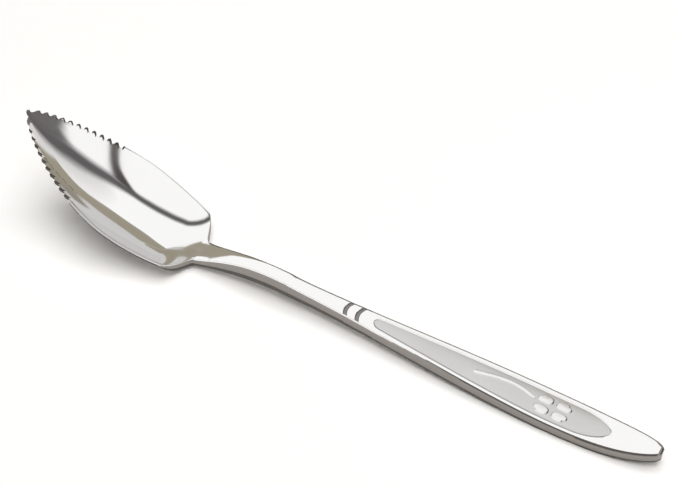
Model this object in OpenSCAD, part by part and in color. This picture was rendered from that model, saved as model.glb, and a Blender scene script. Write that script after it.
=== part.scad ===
// Grapefruit spoon: one stamped and coined blank, split into its named zones.
// X runs from the bowl tip to the tail, Y across, Z up. The spoon lies on z = 0.

/* [Overall] */
// Length from the bowl tip to the tail
length = 173.3; // [150:0.1:190]

/* [Bowl] */
// Length of the bowl from the tip to the root of the neck
bowl_length = 50.5; // [44:0.5:56]
// Width of the bowl at its widest
bowl_width = 26; // [22:0.2:30]
// Width of the bowl across the two heel corners
heel_width = 21.8; // [18:0.2:24]
// Width of the blunt point of the tip
tip_width = 0.8; // [0.6:0.1:2]
// Height of the tip above the table
tip_height = 28.6; // [22:0.1:32]
// Height of the rim above the table at the heel corners
heel_height = 5.8; // [5:0.1:8]
// Thickness of the bowl floor
bowl_wall = 1.2; // [0.8:0.1:1.6]
// Width of the flat land on the rim
rim_land = 1.15; // [1.1:0.05:1.6]
// Height of the ground edge outside the rim land
rim_edge = 0.35; // [0.2:0.05:0.6]

/* [Serration] */
// Number of teeth on each side
tooth_count = 12; // [8:1:14]
// Depth of the notches between the teeth
tooth_depth = 0.8; // [0.5:0.05:1.05]
// Length of the serrated stretch from the tip
serrated_length = 20; // [14:0.5:26]

/* [Neck and shank] */
// Width of the neck where it leaves the bowl
neck_width = 6.9; // [6:0.1:9]
// Thickness of the neck where it leaves the bowl
neck_thickness = 2.4; // [1.8:0.1:2.8]
// Width of the shank at its narrowest
shank_width = 3.7; // [3:0.1:5]
// Thickness of the shank at its narrowest
shank_thickness = 4.8; // [3.4:0.1:5.2]
// Clearance from the table to the underside of the arched shank
arch_height = 3.1; // [2:0.1:6]
// Fall of the crowned top from the middle to its sides
crown = 0.3; // [0.1:0.05:0.5]
// Fall of the crowned top on the shank and the handle
handle_crown = 0.1; // [0.05:0.05:0.3]

/* [Ring grooves] */
// Number of grooves across the end of the shank
groove_count = 2; // [1:1:3]
// Distance between the middles of the grooves
groove_pitch = 3.3; // [2.4:0.1:4]
// Width of one groove
groove_width = 1.1; // [0.6:0.1:1.6]
// Depth of one groove
groove_depth = 0.35; // [0.1:0.05:0.6]

/* [Handle] */
// Width of the handle at its widest
handle_width = 9.9; // [9:0.1:12]
// Thickness of the handle at its widest
handle_thickness = 2.9; // [2.2:0.1:3.4]
// Height of the underside of the tail above the table
tail_lift = 2.2; // [1:0.1:3]
// Depth ground off the underside to give the flat that rests on the table
foot_depth = 0.12; // [0.08:0.01:0.2]

/* [Sunk panel] */
// Width of the polished border beside the panel
border_width = 1.15; // [0.8:0.05:1.6]
// Width of the bevel round the panel
bevel_width = 0.5; // [0.2:0.05:0.7]
// Depth from the border to the satin floor
panel_sink = 0.3; // [0.15:0.05:0.5]
// Thickness of the satin floor layer
satin_layer = 0.15; // [0.1:0.05:0.3]

/* [Clover] */
// Length of one leaf, along the handle
leaf_length = 3.7; // [2.8:0.1:3.8]
// Width of one leaf, across the handle
leaf_width = 2.6; // [1.8:0.1:2.7]
// Gap between neighbouring leaves
leaf_gap = 0.65; // [0.4:0.05:1]
// Height of the clover and its stem above the satin floor
relief_height = 0.45; // [0.2:0.05:0.6]
// Width of the stem at its end towards the shank
stem_width = 1.3; // [0.6:0.1:1.6]
// Sideways bow of the stem
stem_bow = 1.6; // [0.6:0.05:2]

/* [Hidden] */

polished = "gainsboro";
satin = "silver";
side_ground = "darkgray";

// Shape of the cross sections and of the outline, as exponents
section_power = 2.2;
floor_power = 1.65;
heel_rise_power = 1.4;
outline_power = 1.7;
point_power = 0.74;
tail_power = 2.3;
neck_power = 3;
notch_power = 2.2;

// Places along the bowl, as shares of its length
widest_share = 0.585;
lowest_share = 0.81;
shoulder_share = 0.9;
// Slope of the rim at the heel, as rise over run
rim_slope_share = 0.27;
// Share of the tail outline that is kept, so that the tail ends in a small blunt nose
nose_share = 0.985;

// Places along the handle run, as shares of the run from the neck root to the tail
thickest_share = 0.147;
narrowest_share = 0.216;
neck_end_share = 0.127;
first_groove_share = 0.352;
shank_end_share = 0.395;
panel_start_share = 0.409;
clover_share = 0.785;
tail_start_share = 0.811;
panel_end_share = 0.902;
handle_widest_share = 0.785;
stem_start_share = 0.623;
// Underside of the arch: share of the run, share of the arch height
arch_shares = [[0, 0.4], [0.1, 0.84], [0.168, 1], [0.217, 0.96], [0.35, 0.83], [0.494, 0.58],
               [0.637, 0.295], [0.76, 0.06], [0.84, 0], [1, 0]];
// Stretch over which the crown of the neck runs out into that of the handle
crown_from_share = 0.05;
crown_run_share = 0.12;
// Underside of the tail: share of the run, share of the tail lift
lift_shares = [[0, 0], [0.84, 0], [0.92, 0.24], [1, 1]];
// Ends of the panel outline, as shares of the panel length
round_end_share = 0.036;
oval_end_share = 0.134;
// Least half width that keeps the panel columns apart, as a share of the border
least_panel_share = 0.2;
least_panel = border_width * least_panel_share;
// Part of the bevel by which a point has to lie inside the panel to be on its floor
inside_share = 0.1;
// Width of the land where it has faded into the neck, as a share of the land on the rim
neck_land_share = 0.33;

// Share of the serrated rim by which the tooth at the tip is longer than the others
first_tooth_share = 0.4;

// Stem: its width beside the clover, its height at the far end, the height of its sides and the
// flat of its crest and the rise of its end, as shares, and how its bow leans, as an exponent
stem_end_share = 0.7;
stem_low_share = 0.55;
stem_foot_share = 0.2;
stem_flat_share = 0.4;
stem_lean_share = 0.2;
stem_power = 1.2;
// Gap between the stem and the clover, as a share of the gap between two leaves
stem_gap_share = 0.33;

// Leaf: its flat top and its outer notch, as shares of its size
leaf_top_share = 0.8;
leaf_notch_share = 0.3;
// Leaf: how square its outline is and how narrow the notch is, as exponents
leaf_power = 2.7;
leaf_notch_power = 24;
// Leaf: turn of the notch from the length of the handle, in degrees
leaf_notch_turn = 26;

// Grid steps
steps_per_tooth = 5;
rear_steps = 12;
heel_steps = 3;
shoulder_steps = 8;
neck_steps = 9;
shank_steps = 10;
groove_steps = 4;
handle_steps = 34;
round_steps = 5;
oval_steps = 6;
nose_steps = 7;
leaf_steps = 28;
stem_steps = 16;

tip_half = tip_width / 2;
widest_half = bowl_width / 2;
heel_half = heel_width / 2;
neck_half = neck_width / 2;
shank_half = shank_width / 2;
handle_half = handle_width / 2;
widest_x = bowl_length * widest_share;
lowest_x = bowl_length * lowest_share;
shoulder_x = bowl_length * shoulder_share;
run = length - bowl_length;

function run_x(share) = bowl_length + run * share;
function run_share(x) = (x - bowl_length) / run;

thickest_x = run_x(thickest_share);
narrowest_x = run_x(narrowest_share);
shank_end_x = run_x(shank_end_share);
panel_start_x = run_x(panel_start_share);
panel_end_x = run_x(panel_end_share);
panel_length = panel_end_x - panel_start_x;
tail_start_x = run_x(tail_start_share);
handle_widest_x = run_x(handle_widest_share);
clover_x = run_x(clover_share);

// Common curves
function clamp01(s) = min(1, max(0, s));
function smooth(s) = let(c = clamp01(s)) c * c * (3 - 2 * c);
function mix(a, b, s) = a + (b - a) * s;

// Smooth curve through a table of [place, value] pairs
function slope(a, b) = (b[1] - a[1]) / (b[0] - a[0]);
function tangent(t, i) = slope(t[max(0, i - 1)], t[min(len(t) - 1, i + 1)]);
function segment(t, x, i = 0) = i >= len(t) - 2 || x < t[i + 1][0] ? i : segment(t, x, i + 1);
function curve_at(t, x) =
    let(i = segment(t, x), h = t[i + 1][0] - t[i][0], s = clamp01((x - t[i][0]) / h))
    (2 * pow(s, 3) - 3 * pow(s, 2) + 1) * t[i][1] + (pow(s, 3) - 2 * pow(s, 2) + s) * h * tangent(t, i)
    + (3 * pow(s, 2) - 2 * pow(s, 3)) * t[i + 1][1] + (pow(s, 3) - pow(s, 2)) * h * tangent(t, i + 1);

// Half width of the whole outline, without the notches
function bowl_half(x) =
    x < widest_x
    ? tip_half + (widest_half - tip_half)
        * pow(1 - pow(clamp01(1 - x / widest_x), outline_power), point_power)
    : widest_half - (widest_half - heel_half)
        * pow(clamp01((x - widest_x) / (shoulder_x - widest_x)), outline_power);
function neck_taper(x) =
    let(s = clamp01((x - bowl_length) / (narrowest_x - bowl_length)))
    mix(shank_half, neck_half, pow(1 - s, neck_power));
function handle_flare(x) =
    mix(shank_half, handle_half, smooth((x - narrowest_x) / (handle_widest_x - narrowest_x)));
function tail_half(x) =
    let(s = clamp01((x - handle_widest_x) / (length - handle_widest_x)))
    handle_half * sqrt(1 - pow(s * nose_share, tail_power));
function half_width(x) =
    x < bowl_length ? mix(bowl_half(x), neck_half, smooth((x - shoulder_x) / (bowl_length - shoulder_x)))
    : x < narrowest_x ? neck_taper(x)
    : x < handle_widest_x ? handle_flare(x)
    : tail_half(x);

// Underside and thickness of the run from the neck to the tail
function underside(x) =
    arch_height * curve_at(arch_shares, run_share(x)) + tail_lift * curve_at(lift_shares, run_share(x))
    - foot_depth;
function thickness(x) =
    let(front = clamp01((x - bowl_length) / (thickest_x - bowl_length)),
        back = clamp01((x - narrowest_x) / (handle_widest_x - narrowest_x)))
    x < narrowest_x ? mix(neck_thickness, shank_thickness, sin(90 * front))
    : mix(shank_thickness, handle_thickness, sqrt(back));
function groove(x) =
    max([for (k = [0 : groove_count - 1])
        let(away = abs(x - run_x(first_groove_share) - k * groove_pitch) * 2 / groove_width)
        groove_depth * sqrt(1 - pow(clamp01(away), 2))]);
function crown_at(x) = mix(crown, handle_crown, smooth((run_share(x) - crown_from_share) / crown_run_share));
function blank_top(x) = underside(x) + thickness(x) - groove(x);

// Middle line of the bowl floor, inside and outside, and its rim
root_top = underside(bowl_length) + thickness(bowl_length);
root_under = underside(bowl_length);
function heel_rise(x) = pow(clamp01((x - lowest_x) / (bowl_length - lowest_x)), heel_rise_power);
function floor_fall(x) = pow(clamp01(1 - x / lowest_x), floor_power);
function floor_inside(x) =
    mix(bowl_wall, tip_height, floor_fall(x)) + (root_top - bowl_wall) * heel_rise(x);
function floor_outside(x) =
    mix(0, tip_height - bowl_wall, floor_fall(x)) + root_under * heel_rise(x);
function rim_height(x) =
    let(back = max(0, shoulder_x - x),
        slope = rim_slope_share * shoulder_x,
        curl = tip_height - heel_height - slope)
    heel_height + slope * back / shoulder_x + curl * pow(back / shoulder_x, 2);

// Middle, edge and lower edge heights of a cross section anywhere on the spoon
function shoulder(x) = smooth((x - shoulder_x) / (bowl_length - shoulder_x));
function middle_top(x) = x < bowl_length ? floor_inside(x) : blank_top(x);
function edge_top(x) =
    x < bowl_length ? mix(rim_height(x), root_top - crown, shoulder(x)) : blank_top(x) - crown_at(x);
function middle_under(x) = x < bowl_length ? floor_outside(x) : underside(x);
function edge_under(x) =
    x < bowl_length ? mix(rim_height(x) - rim_edge, root_under, shoulder(x)) : underside(x);

// Width of the flat land along the edge, soft where the outline is narrow
function land(x) =
    let(half = half_width(x), wide = rim_land * mix(1, neck_land_share, shoulder(x)))
    half * wide / (half + wide);

function top_height(x, y) =
    let(inner = half_width(x) - land(x), v = min(1, abs(y) / inner))
    mix(middle_top(x), edge_top(x), pow(v, section_power));
function under_height(x, y) =
    mix(middle_under(x), edge_under(x), pow(min(1, abs(y) / half_width(x)), section_power));

// Rim length from the tip, as a table of [length, x], so that the teeth are even
rim_steps = 60;
function rim_point(i) = let(x = serrated_length * i / rim_steps) [x, half_width(x), rim_height(x)];
function rim_table(i = 0, total = 0) =
    i > rim_steps ? []
    : let(here = i == 0 ? 0 : total + norm(rim_point(i) - rim_point(i - 1)))
      concat([[here, rim_point(i)[0]]], rim_table(i + 1, here));
rim_lengths = rim_table();
rim_total = rim_lengths[rim_steps][0];
function tooth_x(phase) =
    lookup(rim_total * (phase + first_tooth_share * min(1, phase)) / (tooth_count + first_tooth_share),
           rim_lengths);

// Rows are [x, tooth phase]; a phase that is a whole number is the point of a tooth
function serrated_rows() =
    [for (k = [0 : tooth_count * steps_per_tooth])
        [tooth_x(k / steps_per_tooth), k / steps_per_tooth]];
function next_rows(from, to, steps) = [for (k = [1 : steps]) [mix(from, to, k / steps), 0]];
function even_rows(from, to, steps) = concat([[from, 0]], next_rows(from, to, steps));

function notch(row) =
    tooth_depth * land(row[0]) / rim_land * (1 - pow(abs(cos(180 * row[1])), notch_power));

// Columns of a row from the near side to the far side
column_shares = [1, 0.75, 0.5, 0.25];
function both_sides(c) = concat([for (y = c) -y], [0], [for (i = [len(c) - 1 : -1 : 0]) c[i]]);
function strip_inside(x) = let(half = half_width(x)) half * half / (half + 2 * rim_land);
function plain_columns(row) =
    let(x = row[0], half = half_width(x))
    both_sides(concat([half - notch(row), half - land(x)], [for (s = column_shares) s * strip_inside(x)]));

// Half width of the sunk panel, outside its bevel
function panel_half(x) =
    let(s = (x - panel_start_x) / panel_length,
        front = sqrt(1 - pow(1 - clamp01(s / round_end_share), 2)),
        back = sqrt(1 - pow(1 - clamp01((1 - s) / oval_end_share), 2)))
    max(least_panel, (half_width(x) - border_width) * front * back);
function floor_half(x) = panel_half(x) * (1 - bevel_width / (panel_half(x) + bevel_width));
function in_panel(x) = x > panel_start_x && x < panel_end_x;
floor_shares = [1, 0.66, 0.33];
function panel_columns(row) =
    let(x = row[0], half = half_width(x))
    both_sides(concat([half, half - land(x), panel_half(x)], [for (s = floor_shares) s * floor_half(x)]));

function column_points(rows, panel) = [for (r = rows) panel ? panel_columns(r) : plain_columns(r)];
function floor_level(x, y) = top_height(x, y) - panel_sink - satin_layer;
function satin_level(x, y) = top_height(x, y) - panel_sink;
function covered_top(x, y, panel) =
    panel && in_panel(x) && abs(y) < panel_half(x) - bevel_width * inside_share
    ? floor_level(x, y) : top_height(x, y);

// Faces of the cells that keep(i, j) accepts, with walls where a neighbour is left out
function grid_faces(rows, cols, keep) =
    let(n = cols + 1, low = (rows + 1) * n)
    [for (i = [0 : rows - 1], j = [0 : cols - 1]) if (keep[i][j])
        let(a = i * n + j, b = a + n, c = b + 1, d = a + 1,
            quads = concat(
                [[a, b, c, d]], [[low + a, low + d, low + c, low + b]],
                i == 0 || !keep[i - 1][j] ? [[a, d, low + d, low + a]] : [],
                i == rows - 1 || !keep[i + 1][j] ? [[c, b, low + b, low + c]] : [],
                j == 0 || !keep[i][j - 1] ? [[b, a, low + a, low + b]] : [],
                j == cols - 1 || !keep[i][j + 1] ? [[d, c, low + c, low + d]] : []))
        for (q = quads, f = [[q[0], q[2], q[1]], [q[0], q[3], q[2]]]) f];

// Solid between two heights over a grid of rows and columns
module grid_solid(top, under, keep) {
    rows = len(top) - 1;
    cols = len(top[0]) - 1;
    polyhedron(
        points = concat([for (r = top, p = r) p], [for (r = under, p = r) p]),
        faces = grid_faces(rows, cols, keep));
}

function all_cells(rows, cols) = [for (i = [0 : rows - 1]) [for (j = [0 : cols - 1]) true]];

module zone(rows, panel = false, grounded = true, keep = undef) {
    columns = column_points(rows, panel);
    top = [for (i = [0 : len(rows) - 1]) [for (y = columns[i])
        [rows[i][0], y, covered_top(rows[i][0], y, panel)]]];
    under = [for (i = [0 : len(rows) - 1]) [for (y = columns[i])
        let(z = under_height(rows[i][0], y)) [rows[i][0], y, grounded ? max(0, z) : z]]];
    grid_solid(top, under, keep == undef ? all_cells(len(rows) - 1, len(columns[0]) - 1) : keep);
}

// Bowl and its two serrated edges share one grid
bowl_rows = concat(
    serrated_rows(),
    next_rows(serrated_length, lowest_x, rear_steps),
    next_rows(lowest_x, shoulder_x, heel_steps),
    next_rows(shoulder_x, bowl_length, shoulder_steps));
serrated_cells = tooth_count * steps_per_tooth;
bowl_columns = 2 * (len(column_shares) + 2);
edge_columns = 2;

function bowl_cells() =
    [for (i = [0 : len(bowl_rows) - 2]) [for (j = [0 : bowl_columns - 1])
        i >= serrated_cells || (j >= edge_columns && j < bowl_columns - edge_columns)]];
function edge_cells(near) =
    [for (i = [0 : len(bowl_rows) - 2]) [for (j = [0 : bowl_columns - 1])
        i < serrated_cells && (near ? j < edge_columns : j >= bowl_columns - edge_columns)]];

module bowl() {
    color(polished) zone(bowl_rows, keep = bowl_cells());
}

module near_serrated_edge() {
    color(polished) zone(bowl_rows, keep = edge_cells(true));
}

module far_serrated_edge() {
    color(polished) zone(bowl_rows, keep = edge_cells(false));
}

module neck() {
    color(side_ground) zone(even_rows(bowl_length, run_x(neck_end_share), neck_steps));
}

// Rows of the shank are closer together inside the grooves
groove_from = run_x(first_groove_share) - groove_width / 2;
function groove_rows(k) =
    let(from = groove_from + k * groove_pitch) even_rows(from, from + groove_width, 2 * groove_steps);
shank_rows = concat(
    [for (k = [0 : shank_steps - 1]) [mix(run_x(neck_end_share), groove_from, k / shank_steps), 0]],
    [for (k = [0 : groove_count - 1], r = groove_rows(k)) if (r[0] < shank_end_x) r],
    [[shank_end_x, 0]]);

module shank() {
    color(side_ground) zone(shank_rows);
}

// Rows of the handle follow the round start of the panel
round_length = panel_length * round_end_share;
handle_rows = concat(
    [[shank_end_x, 0], [panel_start_x, 0]],
    [for (k = [1 : round_steps]) [panel_start_x + round_length * (1 - cos(90 * k / round_steps)), 0]],
    [for (k = [1 : handle_steps]) [mix(panel_start_x + round_length, tail_start_x, k / handle_steps), 0]]);
// Rows of the tail follow the oval end of the panel and then the nose
oval_start_x = panel_end_x - panel_length * oval_end_share;
function closing_rows(from, to, first, steps) =
    [for (k = [first : steps]) [mix(from, to, sin(90 * k / steps)), 0]];
tail_rows = concat(
    [[tail_start_x, 0]],
    closing_rows(oval_start_x, panel_end_x, 0, oval_steps),
    closing_rows(panel_end_x, length, 1, nose_steps));

module handle() {
    color(polished) zone(handle_rows, panel = true);
}

// The underside of the tail is ground flat where it rests on the table
module tail() {
    color(polished) difference() {
        zone(tail_rows, panel = true, grounded = false);
        translate([tail_start_x - length, -handle_width, -handle_width])
            cube([2 * length, 2 * handle_width, handle_width]);
    }
}

// Satin layer on the floor of the sunk panel
after_handle = [for (k = [1 : len(tail_rows) - 1]) tail_rows[k]];
panel_rows = [for (r = concat(handle_rows, after_handle)) if (in_panel(r[0])) r];

module satin_panel() {
    columns = [for (r = panel_rows) both_sides([for (s = floor_shares) s * floor_half(r[0])])];
    index = [0 : len(panel_rows) - 1];
    top = [for (i = index, x = panel_rows[i][0]) [for (y = columns[i]) [x, y, satin_level(x, y)]]];
    under = [for (i = index, x = panel_rows[i][0]) [for (y = columns[i]) [x, y, floor_level(x, y)]]];
    color(satin) grid_solid(top, under, all_cells(len(panel_rows) - 1, len(columns[0]) - 1));
}

function on_satin(p, lift) = [p[0], p[1], satin_level(p[0], p[1]) + lift];

// Stem: a ridge that bows sideways and flattens out towards the shank
stem_from = run_x(stem_start_share);
stem_to = clover_x - leaf_gap / 2 - leaf_length - leaf_gap * stem_gap_share;
function stem_point(s, side) =
    let(bow = stem_bow * (sin(180 * pow(s, stem_power)) + stem_lean_share * s),
        half = stem_width / 2 * mix(1, stem_end_share, s) * side)
    [mix(stem_from, stem_to, s), bow + half];

module clover_stem() {
    side_shares = [-1, -stem_flat_share, stem_flat_share, 1];
    rise_shares = [stem_foot_share, 1, 1, stem_foot_share];
    index = [0 : stem_steps];
    top = [for (k = index) let(s = k / stem_steps)
        [for (j = [0 : 3]) on_satin(stem_point(s, side_shares[j]),
                                    relief_height * mix(stem_low_share, 1, s) * rise_shares[j])]];
    under = [for (k = index) [for (j = [0 : 3]) on_satin(stem_point(k / stem_steps, side_shares[j]), 0)]];
    color(satin) grid_solid(top, under, all_cells(stem_steps, 3));
}

// One leaf of the clover: a squarish lobe with an outer notch and a chamfered edge.
// along is 1 towards the tail and -1 towards the bowl; across is 1 on the far side
leaf_x = leaf_gap / 2 + leaf_length / 2;
leaf_y = leaf_gap / 2 + leaf_width / 2;
function leaf_edge(a) =
    pow(pow(2 * abs(cos(a)) / leaf_length, leaf_power) + pow(2 * abs(sin(a)) / leaf_width, leaf_power),
        -1 / leaf_power)
    * (1 - leaf_notch_share * pow(max(0, cos(a - leaf_notch_turn)), leaf_notch_power));
function leaf_outline(along, across, scale) =
    [for (k = [0 : leaf_steps - 1])
        let(a = 360 * k / leaf_steps * along * across, r = leaf_edge(a) * scale)
        [clover_x + along * (leaf_x + r * cos(a)), across * (leaf_y + r * sin(a))]];

module leaf(along, across) {
    foot = leaf_outline(along, across, 1);
    crest = leaf_outline(along, across, leaf_top_share);
    middle = [clover_x + along * leaf_x, across * leaf_y];
    n = leaf_steps;
    points = concat(
        [for (p = foot) on_satin(p, 0)], [for (p = crest) on_satin(p, relief_height)],
        [on_satin(middle, 0), on_satin(middle, relief_height)]);
    faces = [for (k = [0 : n - 1]) let(m = (k + 1) % n)
        for (f = [[2 * n, k, m], [2 * n + 1, n + m, n + k], [k, n + k, n + m], [k, n + m, m]]) f];
    polyhedron(points = points, faces = faces);
}

module clover() {
    color(satin) for (along = [-1, 1], across = [-1, 1]) leaf(along, across);
}

module centred() {
    translate([-length / 2, 0, 0]) children();
}

centred() bowl();
centred() near_serrated_edge();
centred() far_serrated_edge();
centred() neck();
centred() shank();
centred() handle();
centred() tail();
centred() satin_panel();
centred() clover_stem();
centred() clover();
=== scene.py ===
"""Looks of a grapefruit spoon: one stamped and polished blank with a coined handle, on a white table."""

import logging
import math
from dataclasses import dataclass
from enum import Enum
from typing import Callable, Iterable, Sequence

import bpy
import numpy as np
from mathutils import Matrix, Vector

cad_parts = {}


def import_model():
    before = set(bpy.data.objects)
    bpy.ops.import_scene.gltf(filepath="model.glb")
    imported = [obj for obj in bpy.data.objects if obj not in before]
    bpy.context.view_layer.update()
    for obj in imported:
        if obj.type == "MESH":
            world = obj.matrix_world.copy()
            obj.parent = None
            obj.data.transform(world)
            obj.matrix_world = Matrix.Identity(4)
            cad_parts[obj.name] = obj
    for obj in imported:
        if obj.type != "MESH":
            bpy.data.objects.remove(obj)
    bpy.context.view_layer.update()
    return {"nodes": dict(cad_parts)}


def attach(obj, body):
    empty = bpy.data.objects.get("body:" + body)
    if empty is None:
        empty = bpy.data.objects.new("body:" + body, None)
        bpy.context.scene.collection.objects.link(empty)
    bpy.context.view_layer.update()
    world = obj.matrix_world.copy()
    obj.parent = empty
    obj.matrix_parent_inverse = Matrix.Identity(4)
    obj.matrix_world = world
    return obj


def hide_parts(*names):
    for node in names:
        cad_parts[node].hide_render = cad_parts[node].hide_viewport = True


frame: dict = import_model()

MM: float = 0.001
WELD_DISTANCE: float = 2e-7
MARK_DEPTH: float = 0.00002
LOG: logging.Logger = logging.getLogger("spoon")

Pair = tuple[float, float]
Point = tuple[float, float, float]
Color = tuple[float, float, float]
Table = Sequence[Pair]

ROOM_COLOR: Color = (0.34, 0.31, 0.245)


class Slot(Enum):
    """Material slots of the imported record."""

    POLISHED = "polished_steel"
    SATIN = "satin_steel"


class Finish(Enum):
    """Order of the finishes in a piece's own list of materials: polished steel, grinding-belt steel darkened
    with painted shade, and steel painted dark as painted shade.
    """

    FACE = 0
    # grinding-belt steel whose colour is darkened with painted shade and painted dark reflections
    GROUND = 1
    # steel painted dark: painted shade and painted dark reflections
    EDGE = 2


def clamp01(s: float) -> float:
    """Returns s held between 0 and 1."""
    return min(1.0, max(0.0, s))


def smooth(s: float) -> float:
    """Returns the soft step from 0 to 1."""
    c = clamp01(s)
    return c * c * (3 - 2 * c)


def mix(a: float, b: float, s: float) -> float:
    """Returns the value that lies the share s of the way from a to b."""
    return a + (b - a) * s


def curve_at(table: Table, x: float) -> float:
    """Reads a smooth curve through a table.

    Args:
        table: places and values, in order of place.
        x: place to read at.

    Returns:
        The value there.
    """
    last = len(table) - 1

    def tangent(k: int) -> float:
        """Returns the slope at the table's entry k."""
        low, high = table[max(0, k - 1)], table[min(last, k + 1)]
        return (high[1] - low[1]) / (high[0] - low[0])

    i = max(k for k in range(last) if k == 0 or x >= table[k][0])
    step = table[i + 1][0] - table[i][0]
    s = clamp01((x - table[i][0]) / step)
    return (
        (2 * s**3 - 3 * s**2 + 1) * table[i][1]
        + (s**3 - 2 * s**2 + s) * step * tangent(i)
        + (3 * s**2 - 2 * s**3) * table[i + 1][1]
        + (s**3 - s**2) * step * tangent(i + 1)
    )


@dataclass(frozen=True)
class Blank:
    """The stamped blank, in millimetres from the bowl tip.

    Its curves are those of the solids, with a narrower tip, a finer rim and a rounder nose. A share of the
    run is 0 at the root of the neck and 1 at the end of the tail.
    """

    length: float = 173.3
    section_power: float = 2.2

    # bowl
    bowl_length: float = 50.5
    bowl_wall: float = 1.2
    widest_half: float = 13.0
    widest_share: float = 0.585
    lowest_share: float = 0.81
    shoulder_share: float = 0.9
    side_power: float = 1.7
    tip_half: float = 0.25
    tip_power: float = 0.74
    tip_height: float = 28.6
    front_power: float = 1.65
    heel_half: float = 10.9
    heel_taper: float = 0.1
    heel_height: float = 5.8
    heel_power: float = 1.4
    rim_slope: float = 0.27
    rim_edge: float = 0.7
    rim_land: float = 0.42
    rim_fillet: float = 0.05

    # teeth
    tooth_count: int = 12
    first_tooth: float = 0.4
    tooth_depth: float = 0.8
    tooth_land: float = 1.15
    tooth_gain: float = 1.1
    first_notch: float = 1.7
    notch_power: float = 2.2
    serrated_length: float = 20.0
    rim_samples: int = 241

    # neck and shank
    root_start: float = 2.0
    root_length: float = 6.0
    neck_half: float = 3.45
    neck_land: float = 0.38
    neck_thickness: float = 2.4
    shank_half: float = 1.85
    shank_thickness: float = 4.8
    thickest_share: float = 0.147
    narrowest_share: float = 0.216
    arch_height: float = 3.1
    crown: float = 0.3
    handle_crown: float = 0.1
    crown_from: float = 0.05
    crown_run: float = 0.12

    # ring grooves
    groove_count: int = 2
    groove_from: float = 0.352
    groove_pitch: float = 3.3
    groove_width: float = 1.1
    groove_depth: float = 0.35
    groove_bow: float = 0.9
    groove_lead: float = 0.35
    groove_end: float = 0.65
    groove_fade: float = 0.25

    # handle and tail
    handle_half: float = 4.95
    handle_thickness: float = 2.9
    handle_share: float = 0.785
    nose_power: float = 2.3
    nose_share: float = 0.985
    nose_round: float = 0.9
    nose_blunt: float = 0.7
    tail_lift: float = 2.2
    foot_depth: float = 0.12

    # sunk panel
    panel_from: float = 0.409
    panel_to: float = 0.902
    panel_front: float = 0.036
    panel_back: float = 0.134
    panel_least: float = 0.2
    panel_sink: float = 0.3
    border_width: float = 1.15
    bevel_width: float = 0.5
    satin_layer: float = 0.15
    satin_bed: float = 0.2
    satin_fall: float = 0.3

    arch: Table = (
        (0, 0.4), (0.1, 0.84), (0.168, 1), (0.217, 0.96), (0.35, 0.83),
        (0.494, 0.58), (0.637, 0.295), (0.76, 0.06), (0.84, 0), (1, 0),
    )
    lift: Table = ((0, 0), (0.84, 0), (0.92, 0.24), (1, 1))

    @property
    def run(self) -> float:
        """Length from the root of the neck to the tail."""
        return self.length - self.bowl_length

    @property
    def widest_x(self) -> float:
        """Place of the bowl's greatest width."""
        return self.bowl_length * self.widest_share

    @property
    def lowest_x(self) -> float:
        """Place of the bowl's lowest point."""
        return self.bowl_length * self.lowest_share

    @property
    def shoulder_x(self) -> float:
        """Place of the bowl's heel corners."""
        return self.bowl_length * self.shoulder_share

    @property
    def narrowest_x(self) -> float:
        """Place of the shank's least width."""
        return self.run_x(self.narrowest_share)

    @property
    def handle_x(self) -> float:
        """Place of the handle's greatest width."""
        return self.run_x(self.handle_share)

    @property
    def groove_x(self) -> float:
        """Place of the first ring groove."""
        return self.run_x(self.groove_from)

    @property
    def panel_start(self) -> float:
        """Place where the sunk panel starts."""
        return self.run_x(self.panel_from)

    @property
    def panel_end(self) -> float:
        """Place where the sunk panel ends."""
        return self.run_x(self.panel_to)

    def run_x(self, share: float) -> float:
        """Returns the place at a share of the run behind the bowl."""
        return self.bowl_length + self.run * share

    def run_share(self, x: float, start: float, length: float) -> float:
        """Tells how far a stretch of the run has come.

        Args:
            x: place along the blank.
            start: share of the run where the stretch starts.
            length: share of the run that it takes.

        Returns:
            0 at its start and 1 at its end, less before it and more behind it.
        """
        return (x - self.run_x(start)) / (self.run * length)

    def half_width(self, x: float) -> float:
        """Reads half the width of the outline, without the notches of the teeth.

        Args:
            x: place along the blank.

        Returns:
            The half width there.
        """
        if x < self.widest_x:
            rest = clamp01(1 - x / self.widest_x) ** self.side_power
            return self.tip_half + (self.widest_half - self.tip_half) * (1 - rest) ** self.tip_power
        if x < self.bowl_length:
            past = clamp01((x - self.widest_x) / (self.shoulder_x - self.widest_x)) ** self.side_power
            half = self.widest_half - (self.widest_half - self.heel_half) * past
            return mix(half, self.neck_half, self.shoulder(x))
        narrowest, widest = self.narrowest_x, self.handle_x
        if x < narrowest:
            s = clamp01((x - self.bowl_length) / (narrowest - self.bowl_length))
            return mix(self.shank_half, self.neck_half, (1 - s) ** 3)
        if x < widest:
            return mix(self.shank_half, self.handle_half, smooth((x - narrowest) / (widest - narrowest)))
        s = clamp01((x - widest) / (self.length - widest))
        rest = clamp01((x - self.length + self.nose_round) / self.nose_round)
        nose = math.sqrt(1 - self.nose_blunt * rest**2)
        return self.handle_half * math.sqrt(1 - (s * self.nose_share) ** self.nose_power) * nose

    def underside(self, x: float) -> float:
        """Returns the height of the underside behind the bowl."""
        share = (x - self.bowl_length) / self.run
        return (self.arch_height * curve_at(self.arch, share) + self.tail_lift * curve_at(self.lift, share)
                - self.foot_depth)

    def thickness(self, x: float) -> float:
        """Reads the thickness of the blank behind the bowl.

        Args:
            x: place along the blank.

        Returns:
            The thickness there.
        """
        front = clamp01((x - self.bowl_length) / (self.run * self.thickest_share))
        narrowest, widest = self.narrowest_x, self.handle_x
        if x < narrowest:
            return mix(self.neck_thickness, self.shank_thickness, math.sin(math.pi / 2 * front))
        back = clamp01((x - narrowest) / (widest - narrowest))
        return mix(self.shank_thickness, self.handle_thickness, math.sqrt(back))

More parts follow.
